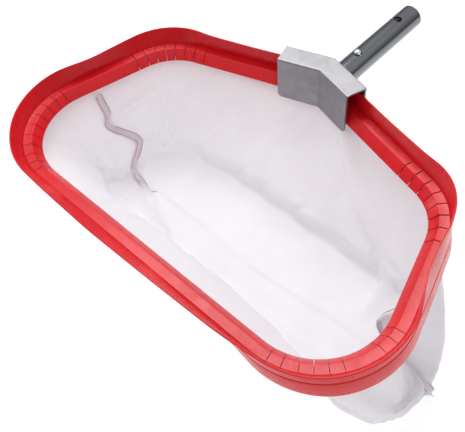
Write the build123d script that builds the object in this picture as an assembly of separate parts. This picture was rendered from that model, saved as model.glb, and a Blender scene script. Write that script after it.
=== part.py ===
from build123d import *
import math
import os

# Leaf skimmer net: a bent red rim in a V-shaped yoke, a pole spigot and a two-panel net bag.
# The pole spigot's axis is the Y axis; the origin is midway between its button and its locking hole.
# The rim lies ahead of the origin, towards -Y, and the part is symmetric about X = 0.

# Rim outline, measured at the ledge's inner edge before the corners are rounded
LEDGE_Z = 6.4
FRONT_Y = -372.5
FRONT_HALF = 248.5
SHOULDER_HALF = 189.7
SHOULDER_RUN = 219.1
PEAK_RUN = 276.5
FRONT_RADIUS = 79.0
SHOULDER_RADIUS = 65.0
PEAK_RADIUS = 12.0
JOINT_GAP = 1.0

# Rim section: u runs outward from the ledge's inner edge, w runs up from the ledge
RIM_WALL = 2.2
LEDGE_WIDTH = 9.1
LIP_LENGTH = 20.0
LIP_TIP = 1.7
SKIRT_LENGTH = 31.0
CREASE_DROP = 11.5
CREASE_DEPTH = 0.8
CREASE_WIDTH = 1.6
FLANGE_IN = 8.8
FLANGE_DROP = 10.6
CHANNEL_LEG = 4.2
CHANNEL_FLOOR = -8.2
CHANNEL_LEG_WALL = 1.6
SLOT_FROM = 0.2
SLOT_TO = 3.2

# Lean of the lip and the skirt, in degrees outward, at named places round half the rim
LIP_LEAN = {"peak": 0.0, "yoke": 0.0, "shoulder": 18.0, "side": -8.0,
            "corner": 24.0, "bend": 32.0, "front": 42.0}
SKIRT_LEAN = {"peak": 0.0, "yoke": 0.0, "shoulder": 12.0, "side": 12.0,
              "corner": 11.0, "bend": -7.0, "front": -14.0}

# Relief notches across the ledge, flange and bead channel in the bends
NOTCH_WIDTH = 1.4
NOTCH_PITCH = 11.0
NOTCHES_FRONT = 11
NOTCHES_SHOULDER = 8

# Yoke: a folded aluminium channel over the rim's peak
YOKE_WALL = 2.2
YOKE_FRONT_U = -9.7
YOKE_REAR_U = 11.5
YOKE_TOP_W = 30.5
YOKE_BOTTOM_W = -22.0
YOKE_FRONT_LENGTH = 48.5
YOKE_REAR_LENGTH = 56.0
YOKE_EDGE_RADIUS = 1.9
YOKE_CORNER_RADIUS = 5.0

# Spigot tube and its spring clip
TUBE_RADIUS = 14.3
TUBE_WALL = 2.0
TUBE_END_Y = 69.0
BUTTON_Y = -38.5
HOLE_Y = 38.5
HOLE_RADIUS = 4.75
WELD_LEG = 3.0
BUTTON_RADIUS = 3.6
BUTTON_SEAT = -0.5
BUTTON_REACH = 4.6
CLIP_WIDTH = 9.0
CLIP_THICKNESS = 0.8
CLIP_FOLD_RADIUS = 3.6
CLIP_FOLD_Y = -74.5
CLIP_OVERRUN = 6.5
CLIP_LEG_TOP = 11.1
LEG_CLEARANCE = 0.3
TUBE_INNER = TUBE_RADIUS - TUBE_WALL

# Screws through the yoke's rear plate into the rim
SCREW_HEAD_RADIUS = 3.6
SCREW_HEAD_HEIGHT = 2.0
SCREW_SHANK_RADIUS = 1.6
SCREW_HOLE_RADIUS = 1.7
SCREW_LENGTH = 5.4
SCREW_PLACES = (24.0, 46.0)
SCREW_W = -5.0

# Net bag: two panels joined by a taped seam that runs down both sides and under the bottom
HANG_U = 1.7
HEM_TOP_W = -12.5
SEAM_RUN = 118.0
BAG_HALF = 268.0
BAG_EAR_W = -131.0
BAG_FLOOR_W = -137.0
BAG_BULGE = 78.0
BAG_DROP = 42.0
NET_THICKNESS = 1.0
NET_GAP = 0.1
TAPE_WIDTH = 10.0
TAPE_THICKNESS = 0.8
TAPE_LIFT = 1.5
EAR_GAP = 0.9
EAR_FULLNESS = 0.35
THREAD_SIZE = 0.7
THREAD_OFFSET = 3.6
HEM_CORD_RADIUS = 1.6
HEM_WRAP = 0.4
HEM_GAP = 0.25
HEM_TAIL = 1.2
HEM_W = -5.3
BAG_LEVELS = 9


def outline():
    """The ledge's inner edge as sharp corners, from the peak clockwise, seen from above."""
    y = FRONT_Y
    return [
        (Vector(0, y + PEAK_RUN), PEAK_RADIUS, "peak", 2),
        (Vector(SHOULDER_HALF, y + SHOULDER_RUN), SHOULDER_RADIUS, "shoulder", 5),
        (Vector(FRONT_HALF, y), FRONT_RADIUS, "corner", 9),
        (Vector(-FRONT_HALF, y), FRONT_RADIUS, "corner", 9),
        (Vector(-SHOULDER_HALF, y + SHOULDER_RUN), SHOULDER_RADIUS, "shoulder", 5),
    ]


def bend(previous, corner, following, radius):
    """Centre, start angle and turn of the arc that rounds one corner, turning clockwise."""
    along_in = (corner - previous).normalized()
    along_out = (following - corner).normalized()
    turn = math.radians(along_in.get_angle(along_out))
    normal = Vector(-along_in.Y, along_in.X)
    reach = radius * math.tan(turn / 2)
    centre = corner - along_in * reach - normal * radius
    return centre, math.atan2(normal.Y, normal.X), turn


def rim_bends():
    """Every bend of the rim as (centre, start angle, turn, radius, name, steps)."""
    corners = outline()
    count = len(corners)
    bends = []
    for index, (corner, radius, name, steps) in enumerate(corners):
        previous = corners[index - 1][0]
        following = corners[(index + 1) % count][0]
        centre, start, turn = bend(previous, corner, following, radius)
        bends.append((centre, start, turn, radius, name, steps))
    return bends


def stations():
    """Points round the rim as (edge point, outward normal), from the peak back to the peak."""
    bends = rim_bends()
    places = []
    for index, (centre, start, turn, radius, name, steps) in enumerate(bends):
        first = steps // 2 if index == 0 else 0
        for step in range(first, steps + 1):
            angle = start - turn * step / steps
            normal = Vector(math.cos(angle), math.sin(angle))
            places.append((centre + normal * radius, normal))
        following = bends[(index + 1) % len(bends)]
        normal = Vector(math.cos(following[1]), math.sin(following[1]))
        landing = following[0] + normal * following[3]
        run = landing - places[-1][0]
        pieces = max(1, round(run.length / 60))
        origin = places[-1][0]
        places += [(origin + run * (piece / pieces), normal) for piece in range(1, pieces)]
    centre, start, turn, radius, name, steps = bends[0]
    for step in range(steps // 2 + 1):
        angle = start - turn * step / steps
        normal = Vector(math.cos(angle), math.sin(angle))
        places.append((centre + normal * radius, normal))
    return places


def distances(places):
    """Distance of each station along the rim from the peak."""
    total = [0.0]
    for (before, _), (after, _) in zip(places, places[1:]):
        total.append(total[-1] + (after - before).length)
    return total


def nearest(places, along, x, y):
    """Distance along the rim of the station nearest to a point, on the side of positive X."""
    half = along[-1] / 2
    choices = [(math.hypot(p.X - x, p.Y - y), s) for (p, _), s in zip(places, along) if s <= half + 1]
    return min(choices)[1]


def lean_profile(places, along, table):
    """The lean at every station, blended smoothly between the named places of the table."""
    bends = rim_bends()
    marks = {"peak": 0.0, "yoke": YOKE_REAR_LENGTH + 8, "front": along[-1] / 2}
    for index, name in ((1, "shoulder"), (2, "corner")):
        centre, start, turn, radius, _, _ = bends[index]
        middle = start - turn / 2
        marks[name] = nearest(places, along, centre.X + radius * math.cos(middle),
                              centre.Y + radius * math.sin(middle))
    marks["side"] = (marks["shoulder"] + marks["corner"]) / 2
    marks["bend"] = nearest(places, along, bends[2][0].X, FRONT_Y)
    names = ["peak", "yoke", "shoulder", "side", "corner", "bend", "front"]
    leans = []
    for distance in along:
        here = min(distance, along[-1] - distance)
        for low, high in zip(names, names[1:]):
            if here <= marks[high] + 1e-6:
                part = (here - marks[low]) / (marks[high] - marks[low])
                part = part * part * (3 - 2 * part)
                leans.append(table[low] + (table[high] - table[low]) * part)
                break
    return leans


def section(lip_lean, skirt_lean):
    """The rim's section as (u, w) points, for one lean of the lip and one of the skirt."""
    lip = math.radians(lip_lean)
    skirt = math.radians(skirt_lean)
    lip_up = (math.sin(lip), math.cos(lip))
    lip_out = (math.cos(lip), -math.sin(lip))
    down = (math.sin(skirt), -math.cos(skirt))
    wall = LEDGE_WIDTH + RIM_WALL
    slope = FLANGE_IN / FLANGE_DROP
    flange_wide = RIM_WALL * math.hypot(1, slope)

    def skirt_point(drop, inset):
        u = wall + down[0] * drop - inset * math.cos(skirt)
        return (u, down[1] * drop - inset * math.sin(skirt))

    def under_flange(w):
        return (w * slope + flange_wide, w)

    top = (LEDGE_WIDTH + lip_up[0] * LIP_LENGTH, lip_up[1] * LIP_LENGTH)
    inner_drop = RIM_WALL / math.cos(skirt)
    toe = CHANNEL_FLOOR - 1.4
    leg = CHANNEL_LEG + CHANNEL_LEG_WALL
    return [
        (0, 0),
        (LEDGE_WIDTH, 0),
        top,
        (top[0] + lip_out[0] * LIP_TIP, top[1] + lip_out[1] * LIP_TIP),
        (wall + 0.2, -0.6),
        skirt_point(CREASE_DROP - CREASE_WIDTH / 2, 0),
        skirt_point(CREASE_DROP, CREASE_DEPTH),
        skirt_point(CREASE_DROP + CREASE_WIDTH / 2, 0),
        skirt_point(SKIRT_LENGTH, 0),
        skirt_point(SKIRT_LENGTH, RIM_WALL),
        skirt_point(inner_drop, RIM_WALL),
        (leg, -RIM_WALL),
        (leg, toe),
        (SLOT_TO, toe),
        (SLOT_TO, CHANNEL_FLOOR),
        (CHANNEL_LEG, CHANNEL_FLOOR),
        (CHANNEL_LEG, -RIM_WALL),
        under_flange(-RIM_WALL),
        under_flange(CHANNEL_FLOOR),
        (SLOT_FROM, CHANNEL_FLOOR),
        (SLOT_FROM, toe),
        under_flange(toe),
        (-FLANGE_IN + flange_wide * 0.62, -FLANGE_DROP - RIM_WALL * 0.55),
        (-FLANGE_IN, -FLANGE_DROP),
    ]


def place(station, u, w):
    """A point of a section, set out at a station of the rim."""
    point, normal = station
    return Vector(point.X + normal.X * u, point.Y + normal.Y * u, LEDGE_Z + w)


def ring_solid(rings):
    """A closed solid from equal rings of points, skinned in triangles and capped at both ends."""
    faces = []
    count = len(rings[0])
    for near, far in zip(rings, rings[1:]):
        for index in range(count):
            after = (index + 1) % count
            faces.append((near[index], near[after], far[after]))
            faces.append((near[index], far[after], far[index]))
    skins = [Face(Wire.make_polygon(list(corners), close=True)) for corners in faces]
    caps = [Face(Wire.make_polygon(list(ring), close=True)) for ring in (rings[0], rings[-1])]
    return Solid(Shell(skins + caps))


def trim_to_joint(solid):
    """Open the butt joint at the peak, where the bent strip's two ends meet."""
    slot = Box(JOINT_GAP, 90, 120).moved(Location((0, FRONT_Y + PEAK_RUN, LEDGE_Z)))
    return solid - slot


def notch_cutters():
    """One thin block for each relief notch, set square across the ledge in every bend."""
    cutters = []
    inner = -FLANGE_IN - 4
    outer = LEDGE_WIDTH - 0.3
    size = (outer - inner, NOTCH_WIDTH, FLANGE_DROP + 8)
    for centre, start, turn, radius, name, _ in rim_bends():
        count = {"peak": 0, "shoulder": NOTCHES_SHOULDER, "corner": NOTCHES_FRONT}[name]
        for index in range(count):
            offset = (index - (count - 1) / 2) * NOTCH_PITCH / radius
            angle = start - turn / 2 + offset
            middle = radius + (inner + outer) / 2
            spot = (centre.X + middle * math.cos(angle), centre.Y + middle * math.sin(angle),
                    LEDGE_Z - FLANGE_DROP / 2)
            cutters.append(Box(*size).moved(Location(spot, (0, 0, math.degrees(angle)))))
    return cutters


def make_rim():
    """The bent plastic strip: lip, ledge, flange, bead channel and skirt in one piece."""
    places = stations()
    along = distances(places)
    lips = lean_profile(places, along, LIP_LEAN)
    skirts = lean_profile(places, along, SKIRT_LEAN)
    halves = []
    middle = len(places) // 2
    for first, last in ((0, middle), (middle, len(places) - 1)):
        rings = []
        for index in range(first, last + 1):
            rings.append([place(places[index], u, w) for u, w in section(lips[index], skirts[index])])
        halves.append(ring_solid(rings))
    rim = halves[0] + halves[1]
    return drill_screw_holes(trim_to_joint(rim) - notch_cutters(), SCREW_HOLE_RADIUS)


def wing_angle():
    """Angle between each back edge of the rim and the X axis."""
    return math.atan2(PEAK_RUN - SHOULDER_RUN, SHOULDER_HALF)


def chevron(u, reach):
    """The line of a V-shaped plate at one offset: left end, bend and right end."""
    angle = wing_angle()
    bend_y = FRONT_Y + PEAK_RUN + u / math.cos(angle)
    x = reach * math.cos(angle)
    y = bend_y - reach * math.sin(angle)
    return [(-x, y), (0, bend_y), (x, y)]


def chevron_block(u_front, u_rear, reach_front, reach_rear, w_low, w_high):
    """A V-shaped block between two offsets, two lengths and two heights."""
    front = chevron(u_front, reach_front)
    rear = chevron(u_rear, reach_rear)
    corners = front + list(reversed(rear))
    face = Face(Wire.make_polygon([Vector(x, y, LEDGE_Z + w_low) for x, y in corners], close=True))
    return Solid.extrude(face, Vector(0, 0, w_high - w_low))


def make_yoke():
    """The folded channel: front plate, top plate and rear plate, open below and at both ends."""
    front = YOKE_FRONT_U - YOKE_WALL
    rear = YOKE_REAR_U + YOKE_WALL
    outer = chevron_block(front, rear, YOKE_FRONT_LENGTH, YOKE_REAR_LENGTH, YOKE_BOTTOM_W, YOKE_TOP_W)
    inner = chevron_block(YOKE_FRONT_U, YOKE_REAR_U, YOKE_FRONT_LENGTH + 30, YOKE_REAR_LENGTH + 30,
                          YOKE_BOTTOM_W - 5, YOKE_TOP_W - YOKE_WALL)
    top = LEDGE_Z + YOKE_TOP_W
    folds = [e for e in outer.edges() if abs(e.center().Z - top) < 0.01 and abs(e.length) > 40]
    outer = outer.fillet(YOKE_EDGE_RADIUS, folds)
    low = LEDGE_Z + YOKE_BOTTOM_W
    yoke = outer - inner
    ends = [e for e in yoke.edges().filter_by(lambda e: e.length < 3)
            if abs(e.center().Z - low) < 0.01 and abs(e.center().X) > 35]
    yoke = yoke.solids()[0].fillet(YOKE_CORNER_RADIUS, ends)
    return drill_screw_holes(yoke, SCREW_HOLE_RADIUS)


def screw_spots():
    """Where each screw passes through the rear plate, with its turn about Z in degrees."""
    angle = wing_angle()
    u = YOKE_REAR_U + YOKE_WALL
    bend_y = FRONT_Y + PEAK_RUN + u / math.cos(angle)
    spots = []
    for side in (-1, 1):
        for reach in SCREW_PLACES:
            x = side * reach * math.cos(angle)
            y = bend_y - reach * math.sin(angle)
            spots.append(((x, y, LEDGE_Z + SCREW_W), -side * math.degrees(angle)))
    return spots


def square_to_plate(spot, turn):
    """Placement that stands a Z-aligned shape on the rear plate, pointing away from it."""
    return Location(spot, (0, 0, turn)) * Location((0, 0, 0), (-90, 0, 0))


def drill_screw_holes(shape, radius):
    """Cut the four screw holes through a shape."""
    for spot, turn in screw_spots():
        shape = shape - Cylinder(radius, 4 * YOKE_WALL + 8).moved(square_to_plate(spot, turn))
    return shape


def make_screws():
    """Four pan-head screws, each square to its wing of the rear plate."""
    screws = []
    for spot, turn in screw_spots():
        head = Cylinder(SCREW_HEAD_RADIUS, SCREW_HEAD_HEIGHT)
        head = head.moved(Location((0, 0, SCREW_HEAD_HEIGHT / 2)))
        shank = Cylinder(SCREW_SHANK_RADIUS, SCREW_LENGTH).moved(Location((0, 0, -SCREW_LENGTH / 2)))
        cross = Box(4, 0.8, 1.2) + Box(0.8, 4, 1.2)
        cross = cross.moved(Location((0, 0, SCREW_HEAD_HEIGHT)))
        screw = (head + shank) - cross
        screws.append(screw.moved(square_to_plate(spot, turn)))
    return Compound(children=screws)


def bore_along_z(y, radius):
    """A round cutter through the whole tube, along Z."""
    return Cylinder(radius, 4 * TUBE_RADIUS).moved(Location((0, y, 0)))


def rod_along_y(radius, y_from, y_to):
    """A round rod on the Y axis between two stations."""
    rod = Cylinder(radius, y_to - y_from)
    return rod.moved(Location((0, (y_from + y_to) / 2, 0), (90, 0, 0)))


def rear_face_y():
    """Where the rear plate's outer face crosses X = 0."""
    return FRONT_Y + PEAK_RUN + (YOKE_REAR_U + YOKE_WALL) / math.cos(wing_angle())


def mitre_block(extra):
    """Everything ahead of the yoke's rear face, grown outward by an extra thickness."""
    u = YOKE_REAR_U + YOKE_WALL + extra
    return chevron_block(u - 60, u, 120, 120, -60, 60)


def make_tube():
    """The spigot tube, mitred to the yoke, with the locking hole and the clip's two holes."""
    start = rear_face_y() - 12
    tube = rod_along_y(TUBE_RADIUS, start, TUBE_END_Y) - rod_along_y(TUBE_INNER, start - 1, TUBE_END_Y + 1)
    tube = tube - mitre_block(0)
    rims = tube.edges().filter_by(lambda e: abs(e.center().Y - TUBE_END_Y) < 0.01)
    tube = tube.solids()[0].chamfer(0.4, None, rims)
    return tube - [bore_along_z(HOLE_Y, HOLE_RADIUS), bore_along_z(BUTTON_Y, HOLE_RADIUS)]


def make_weld():
    """The fillet weld round the tube where it stands on the rear plate."""
    start = rear_face_y() - 12
    ring = rod_along_y(TUBE_RADIUS + WELD_LEG, start, rear_face_y() + 20)
    ring = ring - rod_along_y(TUBE_RADIUS, start - 1, rear_face_y() + 21)
    return (ring & mitre_block(WELD_LEG)) - mitre_block(0)


def leg_angle():
    """Slope of each clip leg away from the spigot's axis."""
    rise = CLIP_LEG_TOP - CLIP_THICKNESS - CLIP_FOLD_RADIUS
    return math.atan2(rise, BUTTON_Y - CLIP_FOLD_Y + CLIP_OVERRUN)


def make_clip_fold():
    """The round fold of the spring clip, deep inside the tube."""
    fold = rod_along_x(CLIP_FOLD_RADIUS + CLIP_THICKNESS) - rod_along_x(CLIP_FOLD_RADIUS)
    back = Box(CLIP_WIDTH, 20, 20).moved(Location((0, CLIP_FOLD_Y + 10, 0)))
    return fold - back


def rod_along_x(radius):
    """A round rod across the fold of the clip."""
    return Cylinder(radius, CLIP_WIDTH).moved(Location((0, CLIP_FOLD_Y, 0), (0, 90, 0)))


def clip_leg_frame():
    """Where the upper leg starts, at its inner face, turned to its slope."""
    return Location((0, CLIP_FOLD_Y, CLIP_FOLD_RADIUS), (math.degrees(leg_angle()), 0, 0))


def make_clip_leg():
    """The upper leg: a flat strip with a rounded free end, just past the button."""
    length = (BUTTON_Y - CLIP_FOLD_Y) / math.cos(leg_angle()) + CLIP_OVERRUN
    start = LEG_CLEARANCE
    strip = Box(CLIP_WIDTH, length - start, CLIP_THICKNESS)
    strip = strip.moved(Location((0, (start + length) / 2, CLIP_THICKNESS / 2)))
    far = strip.edges().filter_by(Axis.Z).group_by(Axis.Y)[-1]
    strip = strip.solids()[0].fillet(CLIP_WIDTH / 2 - 0.6, far)
    return strip.moved(clip_leg_frame())


def make_button():
    """The upper button: a short post with a domed top that stands out of the tube."""
    base = CLIP_FOLD_RADIUS + (BUTTON_Y - CLIP_FOLD_Y - BUTTON_RADIUS) * math.tan(leg_angle())
    top = TUBE_RADIUS + BUTTON_REACH
    shoulder = top - BUTTON_RADIUS * 0.75
    seat_y = BUTTON_Y + BUTTON_SEAT
    post = Cylinder(BUTTON_RADIUS, shoulder - base).moved(Location((0, seat_y, (base + shoulder) / 2)))
    dome = scale(Sphere(BUTTON_RADIUS), (1, 1, 0.75)).moved(Location((0, seat_y, shoulder)))
    dome = dome - Box(20, 20, 20).moved(Location((0, seat_y, shoulder - 10)))
    stack = (post + dome) - make_clip_leg()
    return stack.solids().sort_by(Axis.Z)[-1]


def mirrored_down(solid):
    """The lower twin of an upper clip piece."""
    return mirror(solid, about=Plane.XY)


def bag_edge():
    """Where the net leaves the rim, as (point, front or rear) from the right seam, clockwise."""
    places = stations()
    seam_y = FRONT_Y + SEAM_RUN
    points = [place(spot, HANG_U, HEM_TOP_W) for spot in places[:-1]]
    front = [p for p in points if p.Y < seam_y - 4]
    rear_right = [p for p in points if p.Y > seam_y + 4 and p.X > -0.01]
    rear_left = [p for p in points if p.Y > seam_y + 4 and p.X < -0.01]
    right = seam_top(points, 1)
    left = seam_top(points, -1)
    front_edge = [right] + front + [left]
    rear_edge = [left] + rear_left + rear_right + [right]
    return front_edge, rear_edge


def seam_top(points, side):
    """The seam's start on one side of the rim."""
    seam_y = FRONT_Y + SEAM_RUN
    ring = points + points[:1]
    for before, after in zip(ring, ring[1:]):
        crosses = (before.Y - seam_y) * (after.Y - seam_y) <= 0
        if crosses and before.X * side > 0:
            part = (seam_y - before.Y) / (after.Y - before.Y)
            return before + (after - before) * part
    raise ValueError("the seam misses the rim")


def seam_foot(part):
    """A point of the bottom seam, from the right ear, 0, to the left ear, 1."""
    x = BAG_HALF * (1 - 2 * part)
    sag = 1 - (x / BAG_HALF) ** 4
    return Vector(x, FRONT_Y + SEAM_RUN, LEDGE_Z + BAG_EAR_W + (BAG_FLOOR_W - BAG_EAR_W) * sag)


def panel_grid(edge, side, from_left):
    """One panel as rows of points: straight down from the rim, out over a bulge, to the seam."""
    rows = []
    count = len(edge) - 1
    for index, top in enumerate(edge):
        part = index / count
        foot = seam_foot(1 - part if from_left else part)
        fullness = max(0.0, math.sin(math.pi * part)) ** EAR_FULLNESS
        drop = Vector(top.X, top.Y, top.Z - BAG_DROP)
        swell = Vector(foot.X, foot.Y + side * BAG_BULGE * fullness, foot.Z)
        shares = [level / (BAG_LEVELS - 1) for level in range(BAG_LEVELS)]
        rows.append([rib_point(top, drop, swell, foot, share) for share in shares])
    return rows


def rib_point(top, drop, swell, foot, part):
    """A point down one rib of the bag."""
    rest = 1 - part
    blend = [rest ** 3, 3 * rest ** 2 * part, 3 * rest * part ** 2, part ** 3]
    total = Vector(0, 0, 0)
    for weight, point in zip(blend, (top, drop, swell, foot)):
        total = total + point * weight
    return total


def grid_normal(grid, row, column):
    """The unit normal of a grid of points at one of them."""
    along = grid[min(row + 1, len(grid) - 1)][column] - grid[max(row - 1, 0)][column]
    down = grid[row][min(column + 1, len(grid[row]) - 1)] - grid[row][max(column - 1, 0)]
    return along.cross(down).normalized()


def sheet_solid(grid, low, high):
    """A thin closed solid over a grid of points, between two distances along its normals."""
    def shifted(distance):
        skin = []
        for row in range(len(grid)):
            normals = [grid_normal(grid, row, column) for column in range(len(grid[row]))]
            skin.append([point + normal * distance for point, normal in zip(grid[row], normals)])
        return skin

    below = shifted(low)
    above = shifted(high)
    faces = []
    rows = len(grid)
    columns = len(grid[0])

    def quad(a, b, c, d):
        for corners in ((a, b, c), (a, c, d)):
            faces.append(Face(Wire.make_polygon(list(corners), close=True)))

    for row in range(rows - 1):
        for column in range(columns - 1):
            for skin in (below, above):
                quad(skin[row][column], skin[row + 1][column],
                     skin[row + 1][column + 1], skin[row][column + 1])
        for column in (0, columns - 1):
            quad(below[row][column], below[row + 1][column], above[row + 1][column], above[row][column])
    for column in range(columns - 1):
        for row in (0, rows - 1):
            quad(below[row][column], below[row][column + 1], above[row][column + 1], above[row][column])
    return Solid(Shell(faces))


def panel_grids():
    """The front and the rear panel as grids of points, one row for each rib."""
    front_edge, rear_edge = bag_edge()
    return panel_grid(front_edge, -1, False), panel_grid(rear_edge, 1, True)


def make_panels():
    """The front and rear panels of the bag, each a thin sheet in the shape it hangs in."""
    return [sheet_solid(grid, NET_GAP, NET_THICKNESS) for grid in panel_grids()]


def side_run(front, rear, seam, inner):
    """Stations down one side seam, each with the direction of both panels, short of the ear."""
    run = []
    for level in range(BAG_LEVELS - 2):
        point = front[seam][level]
        run.append((point, front[inner][level] - point, rear[inner][level] - point))
    return run


def bottom_run(front):
    """Stations along the bottom seam, from just inside the right ear to just inside the left."""
    feet = [row[-1] for row in front]
    leans = [row[-2] - row[-1] for row in front]
    leans = [(lean, Vector(lean.X, -lean.Y, lean.Z)) for lean in leans]
    run = [(foot, *lean) for foot, lean in zip(feet[1:-1], leans[1:-1])]
    right = feet[0] + (feet[1] - feet[0]) * EAR_GAP
    left = feet[-1] + (feet[-2] - feet[-1]) * EAR_GAP
    return [(right, *leans[1])] + run + [(left, *leans[-2])]


def seam_runs():
    """The taped runs of the seam, down each side, and its plain run along the bottom."""
    front, rear = panel_grids()
    rear = list(reversed(rear))
    sides = [side_run(front, rear, 0, 1), list(reversed(side_run(front, rear, -1, -2)))]
    return sides, bottom_run(front)


def tape_profile(point, step, lean, side, reach, low, high):
    """Two corners of the tape on one panel: at a distance from the seam, at two depths inside."""
    across = (lean - step * lean.dot(step)).normalized()
    inward = across.cross(step).normalized() * side
    spot = point + across * reach
    return spot + inward * low, spot + inward * high


def seam_strip(line, reaches, low, high):
    """A strip inside the bag, folded along one run of the seam, between two depths below the net."""
    count = len(line) - 1
    rings = []
    for index, (point, front, rear) in enumerate(line):
        step = (line[min(index + 1, count)][0] - line[max(index - 1, 0)][0]).normalized()
        ring_low = []
        ring_high = []
        for lean, side, reach in reaches(front, rear):
            near, far = tape_profile(point, step, lean, side, reach, low, high)
            ring_low.append(near)
            ring_high.append(far)
        rings.append(ring_low + list(reversed(ring_high)))
    return ring_solid(rings)


def tape_reaches(front, rear):
    """The tape's section: out along the front panel, across the seam, out along the rear panel."""
    middle = front.normalized() - rear.normalized()
    half = TAPE_WIDTH / 2
    return [(front, -1, half), (middle, -1, 0.01), (rear, 1, half)]


def front_thread_reaches(front, rear):
    """The thread's section on the front panel."""
    return [(front, -1, THREAD_OFFSET + THREAD_SIZE / 2), (front, -1, THREAD_OFFSET - THREAD_SIZE / 2)]


def rear_thread_reaches(front, rear):
    """The thread's section on the rear panel."""
    return [(rear, 1, THREAD_OFFSET - THREAD_SIZE / 2), (rear, 1, THREAD_OFFSET + THREAD_SIZE / 2)]


def make_tape():
    """The binding tape down both side seams, inside the bag, in two lengths."""
    sides, _ = seam_runs()
    top = TAPE_LIFT + TAPE_THICKNESS
    return Compound(children=[seam_strip(run, tape_reaches, TAPE_LIFT, top) for run in sides])


def make_seam_thread():
    """Two rows of stitching thread on each run: on the tape's edges, and beside the plain bottom seam."""
    sides, bottom = seam_runs()
    on_tape = TAPE_LIFT + TAPE_THICKNESS + 0.3
    rows = []
    for run, low in ((sides[0], on_tape), (bottom, TAPE_LIFT), (sides[1], on_tape)):
        for reaches in (front_thread_reaches, rear_thread_reaches):
            rows.append(seam_strip(run, reaches, low, low + THREAD_SIZE))
    return Compound(children=rows)


def swept_ring(profile):
    """A constant section carried round the rim, open at the peak."""
    rings = []
    for station in stations():
        rings.append([place(station, u, w) for u, w in profile])
    middle = len(rings) // 2
    halves = [ring_solid(rings[:middle + 1]), ring_solid(rings[middle:])]
    return trim_to_joint(halves[0] + halves[1])


def circle_profile(u, w, radius, count):
    """A round section as a polygon."""
    turns = [2 * math.pi * index / count for index in range(count)]
    return [(u + radius * math.cos(turn), w + radius * math.sin(turn)) for turn in turns]


def make_hem_cord():
    """The bead cord inside the net's hem, held in the rim's channel."""
    return swept_ring(arc_profile(HEM_CORD_RADIUS, 0, 315, 8))


def arc_profile(radius, first, last, count):
    """Points of an arc round the bead, from one angle to another in degrees."""
    turns = [math.radians(first + (last - first) * index / (count - 1)) for index in range(count)]
    return [(HANG_U + radius * math.cos(turn), HEM_W + radius * math.sin(turn)) for turn in turns]


def make_hem_band():
    """The hem: the net's edge folded round the bead cord, with its tail down through the slot."""
    inner = HEM_CORD_RADIUS + HEM_GAP
    outer = arc_profile(inner + HEM_WRAP, -72, 252, 8)
    lining = arc_profile(inner, 252, -72, 8)
    foot = HEM_TOP_W + 0.8
    half = HEM_TAIL / 2
    tail = [(HANG_U - half, foot), (HANG_U + half, foot)]
    return swept_ring(tail + outer + lining)


def save(name, shape):
    """Write one node."""
    export_step(shape, os.path.join("parts", name + ".step"))


def main():
    os.makedirs("parts", exist_ok=True)
    save("rim", make_rim())
    save("yoke", make_yoke())
    save("yoke_screws", make_screws())
    save("handle_tube", make_tube())
    save("tube_weld", make_weld())
    save("clip_fold", make_clip_fold())
    leg = make_clip_leg()
    button = make_button()
    save("clip_leg_upper", leg)
    save("clip_leg_lower", mirrored_down(leg))
    save("button_upper", button)
    save("button_lower", mirrored_down(button))
    front, rear = make_panels()
    save("net_front_panel", front)
    save("net_rear_panel", rear)
    save("seam_tape", make_tape())
    save("seam_thread", make_seam_thread())
    save("hem_cord", make_hem_cord())
    save("hem_band", make_hem_band())


main()
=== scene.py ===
import math

import bpy
import numpy as np
from mathutils import Matrix, Vector


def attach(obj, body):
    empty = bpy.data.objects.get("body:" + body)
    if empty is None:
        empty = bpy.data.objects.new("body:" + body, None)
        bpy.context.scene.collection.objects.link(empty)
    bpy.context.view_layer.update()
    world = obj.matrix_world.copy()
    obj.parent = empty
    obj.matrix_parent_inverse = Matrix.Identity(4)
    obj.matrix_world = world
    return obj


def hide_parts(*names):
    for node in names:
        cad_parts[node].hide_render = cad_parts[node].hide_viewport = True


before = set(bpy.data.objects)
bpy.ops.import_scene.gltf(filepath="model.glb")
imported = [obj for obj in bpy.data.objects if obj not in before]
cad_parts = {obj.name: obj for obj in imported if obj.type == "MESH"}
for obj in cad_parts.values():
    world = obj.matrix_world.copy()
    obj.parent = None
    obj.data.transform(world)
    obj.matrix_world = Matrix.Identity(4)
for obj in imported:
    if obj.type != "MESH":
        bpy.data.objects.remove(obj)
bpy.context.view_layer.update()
# Lengths are in mm unless a comment says otherwise, and MM turns them into Blender's metres
MM = 0.001

# Where the front edge of the mouth and the ledge's top lie in the part's own frame
FRONT_Y = -372.5
LEDGE_Z = 6.4
# The rim's outline is the pentagon of the ledge's inner edge, as (x, y, corner radius)
CORNERS = [(0.0, FRONT_Y + 276.5, 12.0), (189.7, FRONT_Y + 219.1, 65.0),
           (248.5, FRONT_Y, 79.0), (-248.5, FRONT_Y, 79.0), (-189.7, FRONT_Y + 219.1, 65.0)]
# The line that both side seams hang from, and the level that the bag rests on
SEAM_Y = FRONT_Y + 118.0
TABLE_Z = LEDGE_Z - 137.2


# ---------------------------------------------------------------- the rim's path

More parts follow.
